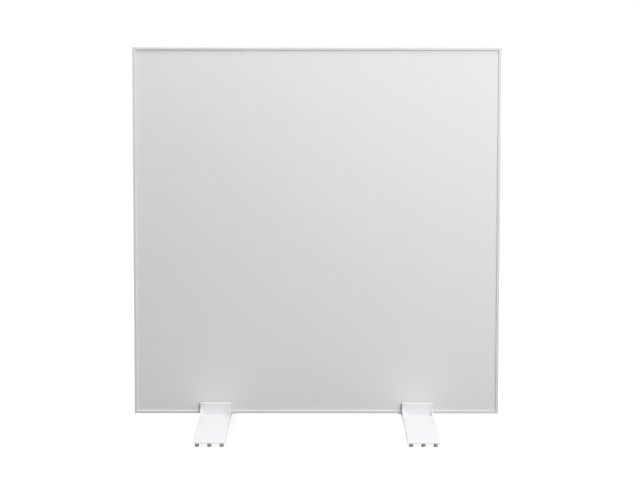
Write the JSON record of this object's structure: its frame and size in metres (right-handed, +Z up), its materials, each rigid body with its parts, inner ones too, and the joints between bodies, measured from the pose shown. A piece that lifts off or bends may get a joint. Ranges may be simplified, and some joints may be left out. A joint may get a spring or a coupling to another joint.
{
  "type": "infrared panel heater",
  "caption": "Slim square infrared panel heater standing on two arched feet, each held to the frame's lower edge by a screw clamp.",
  "frame": {"origin": "on the floor under the middle of the panel", "axes": "+Z up, -Y is the heated front, +X to the right as seen from the front"},
  "size_m": [0.6, 0.262, 0.6282],
  "materials": {
    "white_frame": "white powder coat",
    "white_casting": "white powder coat",
    "white_enamel": "satin white enamel",
    "white_cover": "satin white powder coat",
    "raw_aluminium": "cast, untreated",
    "glass_tape": "woven glass tape",
    "amber_film": "polyimide film",
    "foil_track": "etched resistance foil",
    "mineral_board": "mineral fibre board",
    "dark_phenolic": "moulded phenolic",
    "tinned_brass": "tinned",
    "plain_brass": "machined",
    "clear_sleeve": "nylon",
    "zinc_steel": "zinc plated",
    "white_moulding": "fine textured",
    "black_rubber": "moulded",
    "ivory_plastic": "polyamide",
    "brown_lead": "silicone sheath",
    "earth_lead_green": "silicone sheath, green with yellow",
    "grey_polyamide": "polyamide",
    "grey_rubber": "moulded",
    "knob_plastic": "fine textured"
  },
  "bodies": {
    "panel": {"frame_bottom": "white_frame", "frame_top": "white_frame", "frame_left": "white_frame", "frame_right": "white_frame", "corner_keys": "raw_aluminium", "front_plate": "white_enamel", "edge_gasket": "glass_tape", "heating_film": "amber_film", "heating_track": "foil_track", "insulation_board": "mineral_board", "thermal_cutouts": "dark_phenolic", "cutout_blades": "tinned_brass", "blade_sleeves": "clear_sleeve", "back_cover": "white_cover", "cover_screws": "zinc_steel", "insert_doublers": "zinc_steel", "rivet_nuts": "zinc_steel", "box_base": "white_moulding", "box_lid": "white_moulding", "lid_screws": "zinc_steel", "box_rivets": "raw_aluminium", "lead_grommet": "black_rubber", "terminal_block": "ivory_plastic", "terminal_barrels": "plain_brass", "terminal_screws": "zinc_steel", "supply_leads": "brown_lead", "element_leads": "brown_lead", "earth_lead": "earth_lead_green", "earth_stud": "zinc_steel", "earth_lug": "tinned_brass", "earth_nut": "zinc_steel", "gland_body": "grey_polyamide", "gland_locknut": "grey_polyamide", "gland_seal": "black_rubber", "gland_nut": "grey_polyamide"},
    "left_foot": {"left_casting": "white_casting", "left_bumpers": "grey_rubber", "left_seat_pad": "black_rubber", "left_lining": "black_rubber"},
    "left_clamp": {"left_pressure_plate": "zinc_steel", "left_clamp_facing": "black_rubber"},
    "left_screw": {"left_clamp_screw": "zinc_steel", "left_clamp_knob": "knob_plastic"},
    "right_foot": {"right_casting": "white_casting", "right_bumpers": "grey_rubber", "right_seat_pad": "black_rubber", "right_lining": "black_rubber"},
    "right_clamp": {"right_pressure_plate": "zinc_steel", "right_clamp_facing": "black_rubber"},
    "right_screw": {"right_clamp_screw": "zinc_steel", "right_clamp_knob": "knob_plastic"}
  },
  "joints": [
    {"name": "left_foot_slide", "type": "slide", "parent": "panel", "child": "left_foot", "axis": [1, 0, 0], "range_m": [-0.109, 0.14]},
    {"name": "left_clamp_slide", "type": "slide", "parent": "left_foot", "child": "left_clamp", "axis": [0, 1, 0], "range_m": [0, 0.003]},
    {"name": "left_screw_turn", "type": "hinge", "parent": "left_clamp", "child": "left_screw", "pos_m": [-0.166, 0.0252, 0.0376], "axis": [0, 1, 0], "range_deg": [0, 1080]},
    {"name": "right_foot_slide", "type": "slide", "parent": "panel", "child": "right_foot", "axis": [1, 0, 0], "range_m": [-0.14, 0.109]},
    {"name": "right_clamp_slide", "type": "slide", "parent": "right_foot", "child": "right_clamp", "axis": [0, 1, 0], "range_m": [0, 0.003]},
    {"name": "right_screw_turn", "type": "hinge", "parent": "right_clamp", "child": "right_screw", "pos_m": [0.166, 0.0252, 0.0376], "axis": [0, 1, 0], "range_deg": [0, 1080]}
  ],
  "couplings": [
    {"joint": "left_screw_turn", "follows": "left_clamp_slide", "rad_per_m": 6283.2},
    {"joint": "right_screw_turn", "follows": "right_clamp_slide", "rad_per_m": 6283.2}
  ]
}
